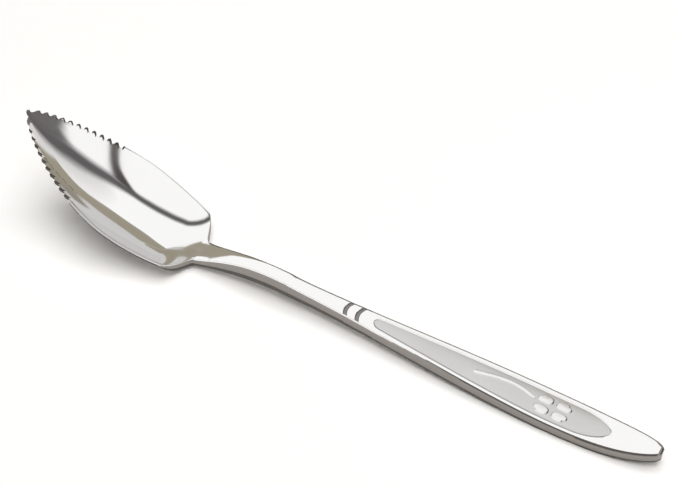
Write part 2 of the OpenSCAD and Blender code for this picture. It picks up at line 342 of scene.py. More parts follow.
    def crown_at(self, x: float) -> float:
        """Returns the fall of the crowned top from its middle to its sides, which is less on the handle."""
        return mix(self.crown, self.handle_crown, smooth(self.run_share(x, self.crown_from, self.crown_run)))

    def groove(self, x: float, y: float) -> float:
        """Reads the depth of the ring grooves, which bow towards the bowl.

        Args:
            x: place along the blank.
            y: place across it.

        Returns:
            The depth there, 0 outside the grooves.
        """
        deepest = 0.0
        straight = x + self.groove_bow * (1 - clamp01(abs(y) / self.half_width(x)) ** 2) - self.groove_lead
        for k in range(self.groove_count):
            away = abs(straight - self.groove_x - k * self.groove_pitch) * 2 / self.groove_width
            deepest = max(deepest, self.groove_depth * math.sqrt(1 - clamp01(away) ** 2))
        return deepest

    def shoulder(self, x: float) -> float:
        """Returns how far the outline of the bowl has turned into the neck at x, from 0 to 1."""
        return smooth((x - self.shoulder_x) / (self.bowl_length - self.shoulder_x))

    def rim_height(self, x: float) -> float:
        """Reads the height of the bowl's rim, which keeps its curve behind the heel corners.

        Args:
            x: place along the blank.

        Returns:
            The height there.
        """
        back = (self.shoulder_x - x) / self.shoulder_x
        slope = self.rim_slope * self.shoulder_x
        return self.heel_height + slope * back + (self.tip_height - self.heel_height - slope) * back**2

    def heights(self, x: float) -> tuple[float, float, float, float]:
        """Reads the heights that make the section at x.

        Args:
            x: place along the blank.

        Returns:
            Middle and edge of the upper face, then middle and edge of the underside.
        """
        if x >= self.bowl_length:
            under = self.underside(x)
            top = under + self.thickness(x)
            return top, top - self.crown_at(x), under, under
        root_under = self.underside(self.bowl_length)
        root_top = root_under + self.neck_thickness
        fall = clamp01(1 - x / self.lowest_x) ** self.front_power
        rise = clamp01((x - self.lowest_x) / (self.bowl_length - self.lowest_x)) ** self.heel_power
        inside = mix(self.bowl_wall, self.tip_height, fall) + (root_top - self.bowl_wall) * rise
        outside = mix(0, self.tip_height - self.bowl_wall, fall) + root_under * rise
        turn = self.shoulder(x)
        edge = mix(self.rim_height(x), root_top - self.crown, turn)
        under_edge = mix(self.rim_height(x) - self.rim_edge, root_under, turn)
        return inside, edge, outside, under_edge

    def land(self, x: float) -> float:
        """Returns the width of the flat land along the edge."""
        half, wide = self.half_width(x), mix(self.rim_land, self.neck_land, self.shoulder(x))
        return half * wide / (half + wide)

    def _hollow(self, middle: float, edge: float, y: float, inner: float, soft: float) -> float:
        """Reads a section of the upper face.

        Args:
            middle: height of its middle.
            edge: height of the land along its edge.
            y: place across.
            inner: half width inside the land.
            soft: size of the fillet between the wall and the land.

        Returns:
            The height at y.
        """
        left = 1 - (abs(y) / inner) ** self.section_power
        return mix(middle, edge, 1 - (left + math.sqrt(left * left + soft * soft)) / 2)

    def _heel_wall(self, x: float) -> float:
        """Returns the half width that the bowl would have behind its heel corners."""
        behind = self.heel_taper * (x - self.shoulder_x) / (self.bowl_length - self.shoulder_x)
        return self.heel_half * (1 - behind)

    def _past_root(self, x: float) -> float:
        """Returns how far the hollow of the heel has turned into the crown of the neck, from 0 to 1."""
        return smooth((x - self.bowl_length + self.root_start) / self.root_length)

    def top(self, x: float, y: float) -> float:
        """Reads the upper face, without the sunk panel.

        The heel is cut off behind its corners and runs into the neck, and the ring grooves run out before the
        far edge.

        Args:
            x: place along the blank.
            y: place across it.

        Returns:
            The height there.
        """
        middle, edge, _, _ = self.heights(x)
        if not self.shoulder_x < x < self.bowl_length - self.root_start + self.root_length:
            inner = self.half_width(x) - self.land(x)
            level = self._hollow(middle, edge, y, inner, self.rim_fillet if x <= self.shoulder_x else 0.0)
            faded = smooth((y / self.half_width(x) - self.groove_end) / self.groove_fade)
            return level - self.groove(x, y) * (1 - faded)
        wall = self._heel_wall(x)
        inner = wall - wall * self.rim_land / (wall + self.rim_land)
        bowl = self._hollow(middle, max(middle, self.rim_height(x)), y, inner, self.rim_fillet)
        inner = min(self.half_width(x), self.neck_half) - self.land(self.bowl_length)
        neck = self._hollow(middle, middle - self.crown, y, inner, 0.0)
        return mix(bowl, neck, self._past_root(x))

    def under(self, x: float, y: float) -> float:
        """Reads the underside, which never goes below the table.

        Args:
            x: place along the blank.
            y: place across it.

        Returns:
            The height there.
        """
        _, _, middle, edge = self.heights(x)
        if not self.shoulder_x < x < self.bowl_length:
            share = min(1.0, abs(y) / self.half_width(x)) ** self.section_power
            return max(0.0, mix(middle, edge, share))
        share = min(1.0, abs(y) / self._heel_wall(x)) ** self.section_power
        bowl = mix(middle, max(middle, self.rim_height(x) - self.rim_edge), share)
        return max(0.0, mix(bowl, middle, self.shoulder(x)))

    def tooth_rows(self, steps: int) -> list[Pair]:
        """Places the rows of the serrated stretch evenly along the rim.

        Args:
            steps: rows to one tooth.

        Returns:
            Place and notch depth of each row, from the tip.
        """
        places = np.linspace(0.0, self.serrated_length, self.rim_samples)
        rim = np.array([(x, self.half_width(x), self.rim_height(x)) for x in places])
        lengths = np.concatenate(([0.0], np.cumsum(np.linalg.norm(np.diff(rim, axis=0), axis=1))))
        rows = []
        for k in range(self.tooth_count * steps + 1):
            phase = k / steps
            share = (phase + self.first_tooth * min(1.0, phase)) / (self.tooth_count + self.first_tooth)
            x = float(np.interp(lengths[-1] * share, lengths, places))
            half = self.half_width(x)
            depth = self.tooth_depth * min(1.0, half / (half + self.tooth_land) * self.tooth_gain)
            depth *= self.first_notch if phase < 1 else 1.0
            rows.append((x, depth * (1 - abs(math.cos(math.pi * phase)) ** self.notch_power)))
        return rows

    def panel_half(self, x: float) -> float:
        """Reads half the width of the sunk panel, outside its bevel.

        Args:
            x: place along the blank.

        Returns:
            The half width there.
        """
        s = (x - self.panel_start) / (self.panel_end - self.panel_start)
        front = math.sqrt(1 - (1 - clamp01(s / self.panel_front)) ** 2)
        back = math.sqrt(1 - (1 - clamp01((1 - s) / self.panel_back)) ** 2)
        inside = (self.half_width(x) - self.border_width) * front * back
        return max(self.panel_least * self.border_width, inside)

    def floor_half(self, x: float) -> float:
        """Returns half the width of the panel's floor at x."""
        half = self.panel_half(x)
        return half * (1 - self.bevel_width / (half + self.bevel_width))

    def satin_level(self, x: float, y: float) -> float:
        """Returns the height of the satin floor, which falls a little towards the far side."""
        return self.top(x, y) - self.panel_sink - self.satin_fall * clamp01(y / self.handle_half) ** 3


BLANK: Blank = Blank()


def place(x: float, y: float, z: float) -> Point:
    """Returns a point of the blank in metres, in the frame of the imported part."""
    return (x - BLANK.length / 2) * MM, y * MM, z * MM


class Bench:
    """The modelling moves that every piece is made with."""

    @staticmethod
    def rest() -> None:
        """Leaves edit mode and deselects everything."""
        if bpy.context.object and bpy.context.object.mode != "OBJECT":
            bpy.ops.object.mode_set(mode="OBJECT")
        bpy.ops.object.select_all(action="DESELECT")

    @staticmethod
    def pick(piece: bpy.types.Object) -> None:
        """Makes one object the only selected and active one."""
        Bench.rest()
        piece.select_set(True)
        bpy.context.view_layer.objects.active = piece

    @staticmethod
    def sheet(name: str, points: np.ndarray) -> bpy.types.Object:
        """Adds a flat grid and moves its points into place.

        Args:
            name: name of the new piece.
            points: rows by columns by three, in metres.

        Returns:
            The shaped sheet.
        """
        rows, columns = points.shape[:2]
        Bench.rest()
        bpy.ops.mesh.primitive_grid_add(x_subdivisions=columns - 1, y_subdivisions=rows - 1, size=1)
        piece = bpy.context.object
        piece.name = piece.data.name = name
        piece.data.vertices.foreach_set("co", points.reshape(-1).astype(np.float32))
        piece.data.update()
        return piece

    @staticmethod
    def edit(piece: bpy.types.Object, *moves: Callable[[], None]) -> None:
        """Runs moves on a piece in edit mode with all of it selected.

        Args:
            piece: the object to edit.
            moves: calls of edit operators, in order.
        """
        Bench.pick(piece)
        bpy.ops.object.mode_set(mode="EDIT")
        for move in moves:
            bpy.ops.mesh.select_all(action="SELECT")
            move()
        bpy.ops.object.mode_set(mode="OBJECT")

    @staticmethod
    def weld() -> None:
        """Merges points that lie on each other."""
        bpy.ops.mesh.remove_doubles(threshold=WELD_DISTANCE)

    @staticmethod
    def close() -> None:
        """Fills every open end."""
        bpy.ops.mesh.select_all(action="DESELECT")
        bpy.ops.mesh.select_non_manifold(extend=False)
        bpy.ops.mesh.edge_face_add()

    @staticmethod
    def outward() -> None:
        """Turns all faces outwards."""
        bpy.ops.mesh.normals_make_consistent(inside=False)

    @staticmethod
    def shade(piece: bpy.types.Object, degrees: float = 35.0) -> None:
        """Smooths the shading but for edges sharper than an angle."""
        Bench.pick(piece)
        bpy.ops.object.shade_smooth_by_angle(angle=math.radians(degrees))


class NodeKit:
    """Shorthand for wiring a node tree."""

    def __init__(self, tree: bpy.types.NodeTree) -> None:
        """Keeps the tree to wire."""
        self.tree = tree

    def feed(self, socket: bpy.types.NodeSocket, value: object) -> None:
        """Links an input to an output, or gives it a plain value.

        Args:
            socket: the input.
            value: an output, or a plain value.
        """
        if isinstance(value, bpy.types.NodeSocket):
            self.tree.links.new(value, socket)
        else:
            socket.default_value = value

    def add(self, kind: str, **inputs: object) -> bpy.types.Node:
        """Adds a node and sets or links its inputs.

        Args:
            kind: the node's type name.
            inputs: values or outputs by input name, with spaces as underscores.

        Returns:
            The new node.
        """
        node = self.tree.nodes.new(kind)
        for key, value in inputs.items():
            self.feed(node.inputs[key.replace("_", " ")], value)
        return node

    def effect(self, group: bpy.types.NodeTree, output: str, **inputs: float) -> bpy.types.NodeSocket:
        """Adds a shader node group.

        Args:
            group: the group.
            output: name of the output that is wanted.
            inputs: plain values by input name.

        Returns:
            That output.
        """
        node = self.tree.nodes.new("ShaderNodeGroup")
        node.node_tree = group
        for key, value in inputs.items():
            node.inputs[key].default_value = value
        return node.outputs[output]

    def math(self, operation: str, a: object, b: object = 0.0) -> bpy.types.NodeSocket:
        """Adds a Math node.

        Args:
            operation: name of the operation.
            a: first value or output.
            b: second value or output.

        Returns:
            Its output.
        """
        node = self.tree.nodes.new("ShaderNodeMath")
        node.operation = operation
        for socket, value in zip(node.inputs, (a, b)):
            self.feed(socket, value)
        return node.outputs[0]

    def ramp(self, value: bpy.types.NodeSocket, low: float, high: float, start: float = 0.0,
             end: float = 1.0) -> bpy.types.NodeSocket:
        """Maps a value from one range to another.

        Args:
            value: the value.
            low: value that gives the start.
            high: value that gives the end.
            start: result at the low value and below it.
            end: result at the high value and above it.

        Returns:
            The output.
        """
        span = {"From_Min": low, "From_Max": high, "To_Min": start, "To_Max": end}
        return self.add("ShaderNodeMapRange", Value=value, **span).outputs["Result"]

    def mix(self, share: bpy.types.NodeSocket, a: Color, b: Color) -> bpy.types.NodeSocket:
        """Mixes two colours.

        Args:
            share: output with the share of the second.
            a: first colour.
            b: second colour.

        Returns:
            The mixed colour.
        """
        node = self.tree.nodes.new("ShaderNodeMix")
        node.data_type = "RGBA"
        self.feed(node.inputs[0], share)
        # a Mix node has its two colours at 6 and 7, and the mixed one at 2
        for socket, color in zip(node.inputs[6:8], (a, b)):
            self.feed(socket, (*color, 1))
        return node.outputs[2]


class MetalKit(NodeKit):
    """A new metal material and the wiring of its node tree."""

    def __init__(self, name: str) -> None:
        """Makes the material, with its shader at full metal."""
        self.material = bpy.data.materials.new(name)
        self.material.use_nodes = True
        super().__init__(self.material.node_tree)
        self.shader = self.tree.nodes["Principled BSDF"]
        self.shader.inputs["Metallic"].default_value = 1.0

    def finish(self, color: bpy.types.NodeSocket, roughness: bpy.types.NodeSocket,
               marks: bpy.types.NodeSocket, strength: float, depth: float = MARK_DEPTH) -> bpy.types.Material:
        """Wires the shader.

        Args:
            color: output with the colour.
            roughness: output with the roughness.
            marks: output with the height of the fine marks.
            strength: strength of the bump that they give.
            depth: their depth in metres.

        Returns:
            The finished material.
        """
        bump = self.add("ShaderNodeBump", Strength=strength, Distance=depth, Height=marks)
        self.feed(self.shader.inputs["Base Color"], color)
        self.feed(self.shader.inputs["Roughness"], roughness)
        self.feed(self.shader.inputs["Normal"], bump.outputs["Normal"])
        return self.material


def shader_group(name: str, inputs: dict[str, float], outputs: Iterable[str],
                 wire: Callable[[NodeKit, bpy.types.Node, bpy.types.Node], None]) -> bpy.types.NodeTree:
    """Makes a shader node group with float inputs and outputs.

    Args:
        name: name of the group.
        inputs: names and usual values of its inputs.
        outputs: names of its outputs.
        wire: fills the group between its input and output nodes.

    Returns:
        The group.
    """
    tree = bpy.data.node_groups.new(name, "ShaderNodeTree")
    for key, value in inputs.items():
        tree.interface.new_socket(key, in_out="INPUT", socket_type="NodeSocketFloat").default_value = value
    for key in outputs:
        tree.interface.new_socket(key, in_out="OUTPUT", socket_type="NodeSocketFloat")
    wire(NodeKit(tree), tree.nodes.new("NodeGroupInput"), tree.nodes.new("NodeGroupOutput"))
    return tree


class Effects:
    """Effects that more than one finish uses, each built once."""

    belt: dict[str, float] = {"Across": 9000.0, "Along": 60.0}
    patches: dict[str, float] = {"Size": 55.0}
    patch_clear: float = 0.35
    patch_hazy: float = 0.75

    def __init__(self) -> None:
        """Builds the groups."""
        self.drawn_lines = shader_group("drawn lines", self.belt, ("Lines",), self._wire_lines)
        self.handling = shader_group("handling marks", self.patches, ("Haze",), self._wire_handling)

    @staticmethod
    def _wire_lines(kit: NodeKit, given: bpy.types.Node, out: bpy.types.Node) -> None:
        """Wires fine lines along the spoon, as a belt or a buff leaves them.

        Args:
            kit: the group's tree.
            given: its input node.
            out: its output node.
        """
        spot = kit.add("ShaderNodeTexCoord").outputs["Object"]
        parts = kit.add("ShaderNodeSeparateXYZ", Vector=spot)
        along = kit.math("MULTIPLY", parts.outputs["X"], given.outputs["Along"])
        across = kit.math("MULTIPLY", parts.outputs["Y"], given.outputs["Across"])
        height = kit.math("MULTIPLY", parts.outputs["Z"], given.outputs["Across"])
        stretched = kit.add("ShaderNodeCombineXYZ", X=along, Y=across, Z=height)
        noise = kit.add("ShaderNodeTexNoise", Vector=stretched.outputs[0], Scale=1.0, Detail=3.0,
                        Roughness=0.6)
        kit.feed(out.inputs["Lines"], noise.outputs["Fac"])

    @classmethod
    def _wire_handling(cls, kit: NodeKit, given: bpy.types.Node, out: bpy.types.Node) -> None:
        """Wires broad soft patches where the polish is a little hazier.

        Args:
            kit: the group's tree.
            given: its input node.
            out: its output node.
        """
        spot = kit.add("ShaderNodeTexCoord").outputs["Object"]
        noise = kit.add("ShaderNodeTexNoise", Vector=spot, Scale=given.outputs["Size"], Detail=4.0,
                        Roughness=0.55)
        haze = kit.ramp(noise.outputs["Fac"], cls.patch_clear, cls.patch_hazy)
        kit.feed(out.inputs["Haze"], haze)


@dataclass(frozen=True)
class PolishedSteel:
    """Mirror-polished stainless steel."""

    effects: Effects
    color: Color = (0.945, 0.94, 0.93)
    hazed: Color = (0.925, 0.92, 0.91)
    least_roughness: float = 0.05
    most_roughness: float = 0.1
    across: float = 5200.0
    along: float = 45.0
    haze_share: float = 0.6
    bump: float = 0.02

    def build(self, name: str = "polished steel") -> bpy.types.Material:
        """Makes the material.

        Args:
            name: name of the material.

        Returns:
            The material.
        """
        kit = MetalKit(name)
        haze = kit.effect(self.effects.handling, "Haze")
        lines = kit.effect(self.effects.drawn_lines, "Lines", Across=self.across, Along=self.along)
        worn = kit.math("ADD", kit.math("MULTIPLY", haze, self.haze_share),
                        kit.math("MULTIPLY", lines, 1 - self.haze_share))
        roughness = kit.ramp(worn, 0.0, 1.0, self.least_roughness, self.most_roughness)
        return kit.finish(kit.mix(haze, self.color, self.hazed), roughness, lines, self.bump)


@dataclass(frozen=True)
class GroundSteelWithShade:
    """Steel sides left as the grinding belt leaves them, with painted shade: their colours are darker than
    the steel, standing in for the shadowed table and dark surroundings that they reflect.
    """

    effects: Effects
    light: Color = (0.36, 0.335, 0.315)
    dark: Color = (0.25, 0.232, 0.218)
    faint_line: float = 0.3
    strong_line: float = 0.7
    least_roughness: float = 0.32
    most_roughness: float = 0.46
    bump: float = 0.2

    def build(self, name: str = "ground steel") -> bpy.types.Material:
        """Makes the material.

        Args:
            name: name of the material.

        Returns:
            The material.
        """
        kit = MetalKit(name)
        lines = kit.effect(self.effects.drawn_lines, "Lines")
        roughness = kit.ramp(lines, self.faint_line, self.strong_line, self.least_roughness,
                             self.most_roughness)
        return kit.finish(kit.mix(lines, self.dark, self.light), roughness, lines, self.bump)


@dataclass(frozen=True)
class SatinSteel:
    """Fine frosted steel of the sunk panel and of its relief."""

    effects: Effects
    color: Color = (0.76, 0.75, 0.74)
    grain: Color = (0.66, 0.65, 0.645)
    roughness: float = 0.3
    hazed_more: float = 0.06
    grain_scale: float = 6500.0
    grain_depth: float = 0.00003
    bump: float = 0.25

    def build(self, name: str = "satin steel") -> bpy.types.Material:
        """Makes the material.

        Args:
            name: name of the material.

        Returns:
            The material.
        """
        kit = MetalKit(name)
        haze = kit.effect(self.effects.handling, "Haze")
        spot = kit.add("ShaderNodeTexCoord").outputs["Object"]
        noise = kit.add("ShaderNodeTexNoise", Vector=spot, Scale=self.grain_scale, Detail=2.0, Roughness=0.6)
        grain = noise.outputs["Fac"]
        roughness = kit.ramp(haze, 0.0, 1.0, self.roughness, self.roughness + self.hazed_more)
        color = kit.mix(grain, self.grain, self.color)
        return kit.finish(color, roughness, grain, self.bump, self.grain_depth)


@dataclass(frozen=True)
class Palette:
    """The finished materials."""

    polished: bpy.types.Material
    # grinding-belt steel, darkened with painted shade
    ground: bpy.types.Material
    # very dark steel that paints shade and dark reflections
    edge: bpy.types.Material
    satin: bpy.types.Material
    relief: bpy.types.Material
    # dark steel that paints shade at the foot of the relief
    foot: bpy.types.Material

    @classmethod
    def mixed(cls) -> "Palette":
        """Returns the palette with every material built."""
        effects = Effects()
        # painted shade: very dark steel for shaded lines and dark reflections
        edge = GroundSteelWithShade(effects, light=(0.14, 0.13, 0.12), dark=(0.08, 0.074, 0.068))
        relief = SatinSteel(effects, color=(0.93, 0.925, 0.915), grain=(0.88, 0.875, 0.865), roughness=0.26,
                            bump=0.12)
        # painted shade at the foot of the relief
        foot = GroundSteelWithShade(effects, light=(0.22, 0.21, 0.2), dark=(0.16, 0.15, 0.142))
        return cls(
            polished=PolishedSteel(effects).build(),
            ground=GroundSteelWithShade(effects).build(),
            edge=edge.build("steel painted with shade"),
            satin=SatinSteel(effects).build(),
            relief=relief.build("relief steel"),
            foot=foot.build("steel painted with shade at the foot of the relief"),
        )


def stand_for(piece: bpy.types.Object, slot: Slot, *nodes: str) -> bpy.types.Object:
    """Puts a finished piece in the place of solids.

    Args:
        piece: the finished object.
        slot: material slot of the imported record; not used.
        nodes: names of the solids.

    Returns:
        The same piece.
    """
    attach(piece, "root")
    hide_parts(*nodes)
    return piece


@dataclass(frozen=True)
class Facet:
    """One face of a zone, as far as its finish depends on it.

    Its step is its number round the section, from the middle of the underside up either side.
    """

    x: float
    y: float
    near: bool
    step: int
    notch: float
    deeper: bool


@dataclass
class Zone:
    """A stretch of the blank: a sheet rolled round the section and welded into a closed bar.

    The finishes are those of the neck, the shank and the handle: painted shade at the foot of the sides,
    grinding-belt steel darkened with painted shade above it, and polished on top and below.
    """

    name: str
    nodes: tuple[str, ...]
    rows: list[Pair]
    corner: float = 0.3
    corner_height_share: float = 0.45
    corner_width_share: float = 0.3

    # columns of the section
    top_steps: int = 30
    under_steps: int = 12
    corner_steps: int = 4
    side_steps: int = 15
    rim_steps: int = 2
    border_steps: int = 5
    bevel_steps: int = 4
    floor_steps: int = 5
    border_edge: float = 0.15

    # sunk panel and dark line of the near edge, a painted reflection
    panel: bool = False
    painted_dark_line: bool = False
    line_from: float = 0.44
    line_dark_from: float = 0.5
    line_run: float = 0.12
    line_share: float = 0.65
    line_whole_from: float = 0.85
    line_top: float = 0.99

    # painted shade at the foot of the sides, on the nose and in the ring grooves
    neck_shade: float = 0.34
    handle_shade: float = 0.2
    shade_from: float = 0.28
    shade_run: float = 0.2
    nose_ground: float = 0.8
    nose_dark: float = 0.35
    groove_rim: float = 0.12
    groove_floor: float = 0.25
    groove_probe: float = 0.05

    @property
    def side_start(self) -> int:
        """Step at which the upright side starts."""
        return self.under_steps + self.corner_steps

    @property
    def side_end(self) -> int:
        """Step at which the upright side ends."""
        return self.side_start + self.side_steps

    @property
    def top_start(self) -> int:
        """Step at which the upper face starts."""
        return self.side_end + self.corner_steps

    def _upper_places(self, x: float, reach: float) -> list[float]:
        """Places the columns across the upper face.

        Args:
            x: place along the blank.
            reach: half width inside the rounded edges.

        Returns:
            Place of each column, from the near to the far side.
        """
        if not self.panel:
            evenly = [2 * k / self.top_steps - 1 for k in range(self.top_steps + 1)]
            return [reach * mix(math.sin(math.pi / 2 * s), s, 0.5) for s in evenly]
        outer, inner = BLANK.panel_half(x), BLANK.floor_half(x)
        border = reach - min(self.border_edge, reach / 6)
        half = [reach]
        for start, end, steps in ((border, outer, self.border_steps), (outer, inner, self.bevel_steps),
                                  (inner, 0, self.floor_steps)):
            half += [mix(start, end, k / steps) for k in range(steps)]
        return [-y for y in half] + [0.0] + half[::-1]

    def _upper_height(self, x: float, y: float) -> float:
        """Reads the upper face with the sunk panel cut in.

        Args:
            x: place along the blank.
            y: place across it.

        Returns:
            The height there.
        """
        top = BLANK.top(x, y)
        if not self.panel or not BLANK.panel_start < x < BLANK.panel_end:
            return top
        outer, inner = BLANK.panel_half(x), BLANK.floor_half(x)
        down = smooth((outer - abs(y)) / (outer - inner))
        return mix(top, BLANK.satin_level(x, y) - BLANK.satin_bed * BLANK.satin_layer, down)

    def _ring(self, x: float, notch: float) -> list[Pair]:
        """Lays out one section of the zone.

        Args:
            x: place along the blank.
            notch: depth of the notch between teeth there.

        Returns:
            Width and height of each point, once round from the middle of the underside.
        """
        half = BLANK.half_width(x) - notch
        crest, foot = BLANK.top(x, half), BLANK.under(x, half)
        radius = min(self.corner, self.corner_height_share * (crest - foot), self.corner_width_share * half)
        reach = half - radius
        low, high = BLANK.under(x, reach), BLANK.top(x, reach)
        turns = [math.pi / 2 * k / self.corner_steps for k in range(self.corner_steps + 1)]
        near = [(-reach * k / self.under_steps, BLANK.under(x, reach * k / self.under_steps))
                for k in range(self.under_steps)]
        near += [(-reach - radius * math.sin(a), low + radius * (1 - math.cos(a))) for a in turns]
        near += [(-half, mix(low + radius, high - radius, k / self.side_steps))
                 for k in range(1, self.side_steps)]
        near += [(-reach - radius * math.cos(a), high - radius * (1 - math.sin(a))) for a in turns[:-1]]
        top = [(y, self._upper_height(x, y)) for y in self._upper_places(x, reach)]
        far = [(-y, z) for y, z in near[::-1]]
        return near + top + far

    def _shaded(self, facet: Facet) -> bool:
        """Tells whether a face lies at the foot of the side, where shade is painted dark.

        Args:
            facet: the face.

        Returns:
            True for such a face, and for all below it.
        """
        along = smooth(BLANK.run_share(facet.x, self.shade_from, self.shade_run))
        share = mix(self.neck_shade, self.handle_shade, along)
        return facet.step < self.side_start + round(self.side_steps * share)

    def _near_finish(self, facet: Facet) -> Finish:
        """Chooses the finish of the rounded near edge, where a dark line, a painted reflection, fades in
        along the handle.

        Args:
            facet: the face.

        Returns:
            The finish.
        """
        share = (facet.step - self.side_end) / (self.corner_steps + self.rim_steps)
        if not self.painted_dark_line or share >= clamp01(BLANK.run_share(facet.x, self.line_from, self.line_run)):
            return Finish.FACE
        grown = clamp01(BLANK.run_share(facet.x, self.line_dark_from, self.line_run))
        whole = 1.0 if facet.x >= BLANK.run_x(self.line_whole_from) else self.line_share
        return Finish.EDGE if share > self.line_top - whole * grown else Finish.GROUND

    def _groove_finish(self, facet: Facet) -> Finish:
        """Chooses the finish of the upper face, which changes in the ring grooves: painted shade, dark on the
        walls that go down towards the tail and grey on the floors.

        Args:
            facet: the face.

        Returns:
            The finish.
        """
        depth = BLANK.groove(facet.x, facet.y)
        if depth <= self.groove_rim:
            return Finish.FACE
        if depth > self.groove_floor:
            return Finish.GROUND
        falling = BLANK.groove(facet.x + self.groove_probe, facet.y) > depth
        return Finish.EDGE if falling else Finish.FACE

    def _finish(self, facet: Facet) -> Finish:
        """Chooses the finish of one face.

        Args:
            facet: the face.

        Returns:
            The finish.
        """
        if facet.step < self.under_steps:
            return Finish.FACE
        # painted shade on the top of the nose: grey, then dark at its very end
        if facet.x > BLANK.length - self.nose_ground and facet.step >= self.side_end:
            return Finish.EDGE if facet.x > BLANK.length - self.nose_dark else Finish.GROUND
        # painted shade at the foot of the side
        if self._shaded(facet):
            return Finish.EDGE
        if facet.step < self.side_end:
            return Finish.GROUND
        if facet.step >= self.top_start + self.rim_steps:
            return self._groove_finish(facet)
        if facet.near:
            return self._near_finish(facet)
        # the far rounded edge is painted dark as painted shade, grey on the panelled zones
        return Finish.GROUND if self.panel else Finish.EDGE

    def _row_finishes(self, row: Pair, next_row: Pair, ring: list[Pair]) -> list[int]:
        """Chooses the finishes of the faces between two rows.

        Args:
            row: place and notch depth of the row.
            next_row: those of the next row towards the tail.
            ring: section at the row.

        Returns:
            Number of the finish of each face round the section.
        """
        (x, notch), (next_x, next_notch) = row, next_row
        columns = len(ring) - 1
        finishes = []
        for k in range(columns):
            near = k < columns / 2
            facet = Facet(x=(x + next_x) / 2, y=(ring[k][0] + ring[k + 1][0]) / 2, near=near,
                          step=k if near else columns - 1 - k, notch=(notch + next_notch) / 2,
                          deeper=next_notch > notch)
            finishes.append(self._finish(facet).value)
        return finishes

    def build(self, palette: Palette) -> bpy.types.Object:
        """Models the zone.

        Args:
            palette: the finished materials.

        Returns:
            The finished piece.
        """
        rings = [self._ring(x, notch) for x, notch in self.rows]
        points = np.array([[place(x, y, z) for y, z in ring] for (x, _), ring in zip(self.rows, rings)])
        piece = Bench.sheet(self.name, points)
        # polished steel, grinding-belt steel with painted shade, and painted shade
        for material in (palette.polished, palette.ground, palette.edge):
            piece.data.materials.append(material)
        finishes: list[int] = []
        for row, next_row, ring in zip(self.rows, self.rows[1:], rings):
            finishes += self._row_finishes(row, next_row, ring)
        piece.data.polygons.foreach_set("material_index", finishes)
        Bench.edit(piece, Bench.weld, Bench.close, Bench.outward)
        Bench.shade(piece)
        return stand_for(piece, Slot.POLISHED, *self.nodes)


@dataclass
class BowlZone(Zone):
    """The bowl, with the finishes of its rim and its teeth, where dark reflections of the shadowed table are
    painted.
    """

    corner: float = 0.1
    top_steps: int = 56
    under_steps: int = 24
    side_steps: int = 5
    rim_steps: int = 3
    tip_start: float = 0.5
    tip_end: float = 2.1
    tip_side: float = 0.4
    # dark flanks of the teeth and dark outer line of the near rim: painted reflections of the shadowed table
    rising_dark: float = 0.85
    falling_dark: float = 0.5
    bright_steps: int = 2
    thin_from: float = 30.0
    thin_run: float = 12.0
    thin_steps: int = 2

    def _tooth_finish(self, facet: Facet) -> Finish:
        """Chooses the finish of a face on the rim of the teeth.

        Args:
            facet: the face.

        Returns:
            The finish: the flanks painted dark as reflections of the shadowed table, the others polished and
                light.
        """
        if facet.near:
            return Finish.EDGE if facet.deeper else Finish.FACE
        depth = facet.notch / BLANK.tooth_depth
        dark = depth < (self.rising_dark if facet.deeper else self.falling_dark)
        return Finish.EDGE if dark or facet.step < self.top_start else Finish.FACE

    def _finish(self, facet: Facet) -> Finish:
        """Chooses the finish of one face.

        Args:
            facet: the face.

        Returns:
            The finish.
        """
        x, step = facet.x, facet.step
        serrated = x < BLANK.serrated_length
        if step < self.under_steps:
            return Finish.FACE
        # the near side of the tip is grey
        if serrated and x > self.tip_start:
            if facet.near and x < self.tip_end and facet.y < -self.tip_side * BLANK.half_width(x):
                return Finish.GROUND
            if step < self.top_start + self.rim_steps:
                return self._tooth_finish(facet)
        # painted dark reflection of the shadowed table along the outside of the near rim, thinner towards the
        # heel
        if facet.near and BLANK.serrated_length < x < BLANK.shoulder_x and step < self.top_start:
            thinner = round(self.thin_steps * clamp01((x - self.thin_from) / self.thin_run))
            dark_end = self.top_start - self.bright_steps - thinner
            return Finish.EDGE if step < dark_end else Finish.FACE
        # painted shade at the foot of the side, and over the whole side of the bowl in front of its heel
        # corners
        if self._shaded(facet) or (x < BLANK.shoulder_x and step < self.side_end):
            return Finish.EDGE
        if step < self.side_end:
            return Finish.GROUND
        # the rim of the serrated stretch is painted dark
        if step < self.top_start + self.rim_steps:
            return Finish.EDGE if serrated else Finish.FACE
        # a painted dark line along the inside of the near land
        painted_inner_line = facet.near and not serrated and step == self.top_start + self.rim_steps
        return Finish.GROUND if painted_inner_line else Finish.FACE


